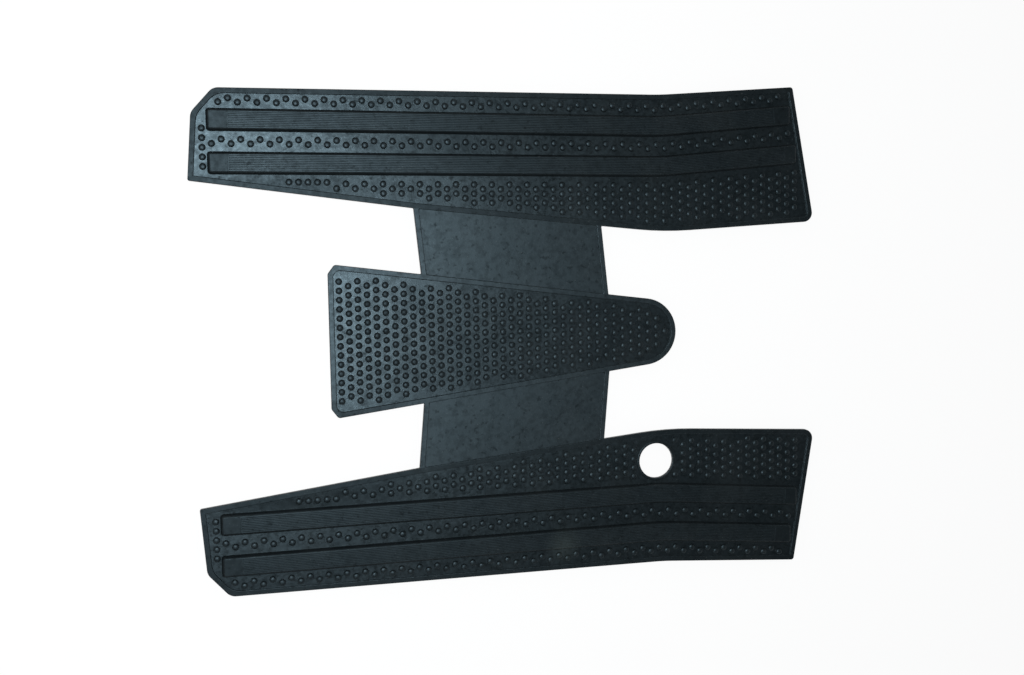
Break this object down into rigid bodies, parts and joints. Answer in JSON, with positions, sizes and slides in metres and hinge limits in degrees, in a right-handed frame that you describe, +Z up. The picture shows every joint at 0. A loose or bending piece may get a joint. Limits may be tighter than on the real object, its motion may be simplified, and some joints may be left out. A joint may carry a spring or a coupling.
{
  "type": "scooter floor mat",
  "caption": "One-piece moulded rubber floor mat for a step-through scooter: two studded side runners with raised foot bars, a flat web and a tapered studded tongue.",
  "frame": {"origin": "under the middle of the mat's box, on the floor that it lies on", "axes": "+X to the front of the scooter, +Y to its left, +Z up"},
  "size_m": [0.5298, 0.4178, 0.0076],
  "materials": {
    "rubber": "moulded black rubber with a dull sheen"
  },
  "bodies": {
    "root": {"floor_mat": "rubber"}
  },
  "joints": []
}
